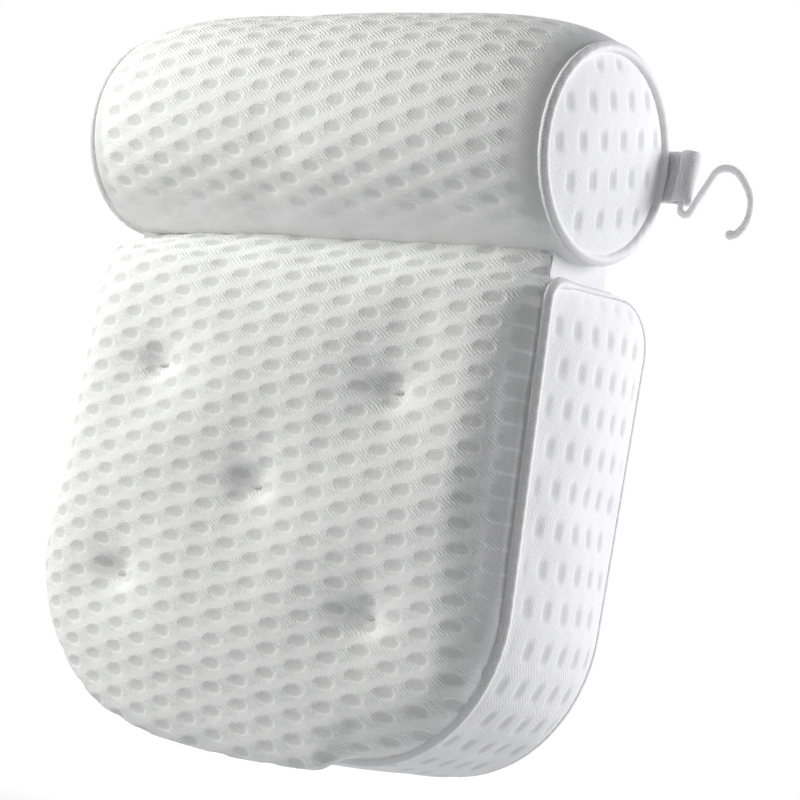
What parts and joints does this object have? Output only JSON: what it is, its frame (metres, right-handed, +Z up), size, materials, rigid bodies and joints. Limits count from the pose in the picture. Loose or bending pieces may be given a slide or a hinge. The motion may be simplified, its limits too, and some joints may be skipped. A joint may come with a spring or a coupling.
{
  "type": "bath pillow",
  "caption": "White spacer-mesh bath pillow: a neck roll sewn above a tufted box cushion, with suction cups behind and a wire hanging hook on a webbing loop.",
  "frame": {"origin": "centre of the suction-cup pattern, on the wall plane that the cup rims touch", "axes": "+X to the right seen from the front, +Y towards the wall, +Z up along the wall to the neck roll"},
  "size_m": [0.3807, 0.1597, 0.4056],
  "materials": {
    "spacer_mesh": "matte white knitted spacer mesh with oval hollows",
    "piping_cord": "matte white fabric-covered cord",
    "tuft_thread": "white sewing thread",
    "webbing": "white woven tape",
    "foam": "open-cell foam and fibre wadding",
    "clear_vinyl": "clear soft vinyl",
    "white_plastic": "satin white moulding"
  },
  "bodies": {
    "pad": {"front_panel": "spacer_mesh", "pad_wadding": "foam", "tuft_tie_1": "tuft_thread", "tuft_tie_2": "tuft_thread", "tuft_tie_3": "tuft_thread", "tuft_tie_4": "tuft_thread", "tuft_tie_5": "tuft_thread", "pad_core": "foam", "gusset": "spacer_mesh", "piping_front": "piping_cord", "piping_back": "piping_cord", "top_panel": "spacer_mesh", "back_panel": "spacer_mesh", "eyelet_1": "white_plastic", "eyelet_2": "white_plastic", "eyelet_3": "white_plastic", "eyelet_4": "white_plastic", "eyelet_5": "white_plastic", "eyelet_6": "white_plastic", "eyelet_7": "white_plastic", "neck": "spacer_mesh"},
    "roll": {"roll_sleeve": "spacer_mesh", "roll_core": "foam", "roll_disc_right": "spacer_mesh", "roll_piping_right": "piping_cord", "roll_disc_left": "spacer_mesh", "roll_piping_left": "piping_cord"},
    "hook_loop": {"hook_webbing": "webbing"},
    "hook": {"hook": "white_plastic"},
    "cup_1": {"suction_cup_1": "clear_vinyl"},
    "cup_2": {"suction_cup_2": "clear_vinyl"},
    "cup_3": {"suction_cup_3": "clear_vinyl"},
    "cup_4": {"suction_cup_4": "clear_vinyl"},
    "cup_5": {"suction_cup_5": "clear_vinyl"},
    "cup_6": {"suction_cup_6": "clear_vinyl"},
    "cup_7": {"suction_cup_7": "clear_vinyl"}
  },
  "joints": [
    {"name": "roll_fold", "type": "hinge", "parent": "pad", "child": "roll", "pos_m": [0, -0.096, 0.1335], "axis": [1, 0, 0], "range_deg": [-20, 20], "stiffness_Nm_per_rad": 0.6, "deforming": ["neck"]},
    {"name": "loop_flap", "type": "hinge", "parent": "roll", "child": "hook_loop", "pos_m": [0.1606, -0.039, 0.2015], "axis": [0, 0, 1], "range_deg": [-30, 60]},
    {"name": "hook_swing", "type": "hinge", "parent": "hook_loop", "child": "hook", "pos_m": [0.1716, -0.039, 0.2015], "axis": [0, 0, 1], "range_deg": [-60, 60]},
    {"name": "cup_1_spin", "type": "hinge", "parent": "pad", "child": "cup_1", "pos_m": [-0.06, 0, 0.075], "axis": [0, 1, 0], "continuous": true},
    {"name": "cup_2_spin", "type": "hinge", "parent": "pad", "child": "cup_2", "pos_m": [0.06, 0, 0.075], "axis": [0, 1, 0], "continuous": true},
    {"name": "cup_3_spin", "type": "hinge", "parent": "pad", "child": "cup_3", "pos_m": [-0.095, 0, 0], "axis": [0, 1, 0], "continuous": true},
    {"name": "cup_4_spin", "type": "hinge", "parent": "pad", "child": "cup_4", "pos_m": [0, 0, 0], "axis": [0, 1, 0], "continuous": true},
    {"name": "cup_5_spin", "type": "hinge", "parent": "pad", "child": "cup_5", "pos_m": [0.095, 0, 0], "axis": [0, 1, 0], "continuous": true},
    {"name": "cup_6_spin", "type": "hinge", "parent": "pad", "child": "cup_6", "pos_m": [-0.06, 0, -0.075], "axis": [0, 1, 0], "continuous": true},
    {"name": "cup_7_spin", "type": "hinge", "parent": "pad", "child": "cup_7", "pos_m": [0.06, 0, -0.075], "axis": [0, 1, 0], "continuous": true}
  ]
}
